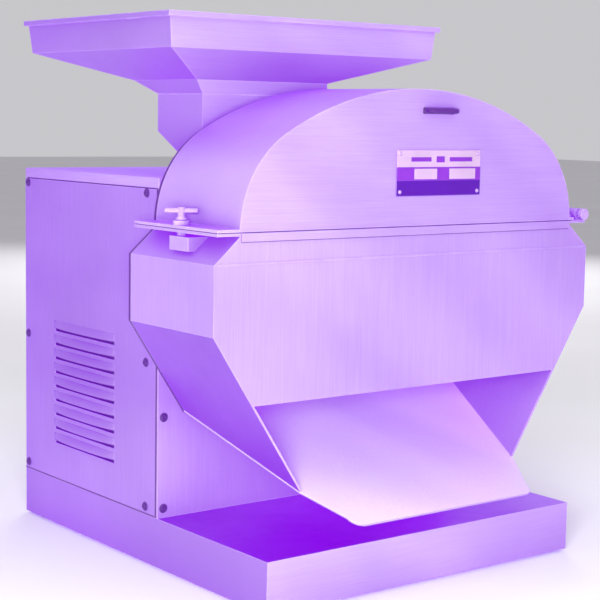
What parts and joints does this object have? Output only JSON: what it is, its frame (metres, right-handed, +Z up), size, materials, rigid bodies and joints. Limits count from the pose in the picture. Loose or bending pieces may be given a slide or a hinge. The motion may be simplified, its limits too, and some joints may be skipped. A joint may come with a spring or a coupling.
{
  "type": "hammer mill",
  "caption": "Bench hammer mill with sheet-steel plinth and motor cabinet, hinged half-drum cover, swing-hammer rotor over a screen, feed hopper and sloping discharge chute.",
  "frame": {"origin": "on the floor, at the centre of the plinth and of its four bench bolts", "axes": "+Z up, the chute and the drum's front plate face -Y, the rotor turns about Y"},
  "size_m": [0.5592, 0.566, 0.63],
  "materials": {
    "sheet": "satin, fine vertical grain",
    "frame_steel": "mill finish",
    "fastener": "bright turned",
    "rotor_steel": "machined",
    "hammer_steel": "forged and worn",
    "bearing_steel": "ground",
    "motor_paint": "semi-gloss enamel",
    "rubber": "matte",
    "black_plastic": "fine texture",
    "green_plastic": "gloss",
    "red_plastic": "gloss",
    "label": "printed blank plate"
  },
  "bodies": {
    "root": {"base_plinth": "sheet", "foot_pads": "rubber", "cabinet_frame": "frame_steel", "cabinet_front_wall": "sheet", "left_side_panel": "sheet", "right_side_panel": "sheet", "rear_panel": "sheet", "cabinet_lid": "sheet", "panel_screws": "fastener", "cable_gland": "black_plastic", "switch_box": "black_plastic", "drum_back_plate": "sheet", "lower_housing": "sheet", "joint_strip": "sheet", "discharge_chute": "sheet", "screen": "frame_steel", "screen_guides": "frame_steel", "screen_rails": "frame_steel", "baffle_plates": "frame_steel", "back_plate_bolts": "fastener", "hinge_body_leaf": "sheet", "hinge_pin": "fastener", "clamp_block": "sheet", "motor_frame": "motor_paint", "motor_front_bell": "motor_paint", "motor_rear_bell": "motor_paint", "front_bearing": "bearing_steel", "rear_bearing": "bearing_steel", "shaft_seal": "bearing_steel", "fan_cowl": "motor_paint", "terminal_box": "motor_paint", "motor_bolts": "fastener", "hopper_tray": "sheet", "hopper_neck": "sheet", "hopper_bolts": "fastener"},
    "cover": {"upper_cover": "sheet", "cover_handle": "fastener", "label_plate": "label", "label_rivets": "fastener", "hinge_cover_leaf": "sheet", "hinge_screws": "fastener"},
    "clamp_collar": {"clamp_washer": "fastener"},
    "clamp_handle": {"clamp_screw": "fastener", "clamp_bar": "fastener"},
    "rotor": {"rotor_disc_rear": "rotor_steel", "rotor_disc_middle": "rotor_steel", "rotor_disc_front": "rotor_steel", "shaft_spacers": "rotor_steel", "hammer_pins": "fastener", "rotor_end_washer": "fastener", "rotor_end_bolt": "fastener", "motor_shaft": "rotor_steel", "motor_core": "rotor_steel", "cooling_fan": "black_plastic"},
    "hammer_row_top": {"hammers_top": "hammer_steel"},
    "hammer_row_right": {"hammers_right": "hammer_steel"},
    "hammer_row_bottom": {"hammers_bottom": "hammer_steel"},
    "hammer_row_left": {"hammers_left": "hammer_steel"},
    "start_button": {"start_button": "green_plastic"},
    "stop_button": {"stop_button": "red_plastic"}
  },
  "joints": [
    {"name": "cover_hinge", "type": "hinge", "parent": "root", "child": "cover", "pos_m": [0.282, -0.136, 0.4035], "axis": [0, 1, 0], "range_deg": [0, 110]},
    {"name": "clamp_lift", "type": "slide", "parent": "cover", "child": "clamp_collar", "axis": [0, 0, 1], "range_m": [0, 0.006]},
    {"name": "clamp_turn", "type": "hinge", "parent": "clamp_collar", "child": "clamp_handle", "pos_m": [-0.251, -0.136, 0.405], "axis": [0, 0, 1], "range_deg": [0, 1440]},
    {"name": "rotor_spin", "type": "hinge", "parent": "root", "child": "rotor", "pos_m": [0.014, -0.126, 0.34], "axis": [0, 1, 0], "continuous": true},
    {"name": "hammer_swing_right", "type": "hinge", "parent": "rotor", "child": "hammer_row_right", "pos_m": [0.08, -0.126, 0.34], "axis": [0, 1, 0], "range_deg": [-60, 60]},
    {"name": "hammer_swing_top", "type": "hinge", "parent": "rotor", "child": "hammer_row_top", "pos_m": [0.014, -0.126, 0.406], "axis": [0, 1, 0], "range_deg": [-60, 60]},
    {"name": "hammer_swing_left", "type": "hinge", "parent": "rotor", "child": "hammer_row_left", "pos_m": [-0.052, -0.126, 0.34], "axis": [0, 1, 0], "range_deg": [-60, 60]},
    {"name": "hammer_swing_bottom", "type": "hinge", "parent": "rotor", "child": "hammer_row_bottom", "pos_m": [0.014, -0.126, 0.274], "axis": [0, 1, 0], "range_deg": [-60, 60]},
    {"name": "start_press", "type": "slide", "parent": "root", "child": "start_button", "axis": [-1, 0, 0], "range_m": [0, 0.004], "stiffness_N_per_m": 400},
    {"name": "stop_press", "type": "slide", "parent": "root", "child": "stop_button", "axis": [-1, 0, 0], "range_m": [0, 0.004], "stiffness_N_per_m": 400}
  ],
  "couplings": [
    {"joint": "clamp_turn", "follows": "clamp_lift", "rad_per_m": 4188.8}
  ]
}
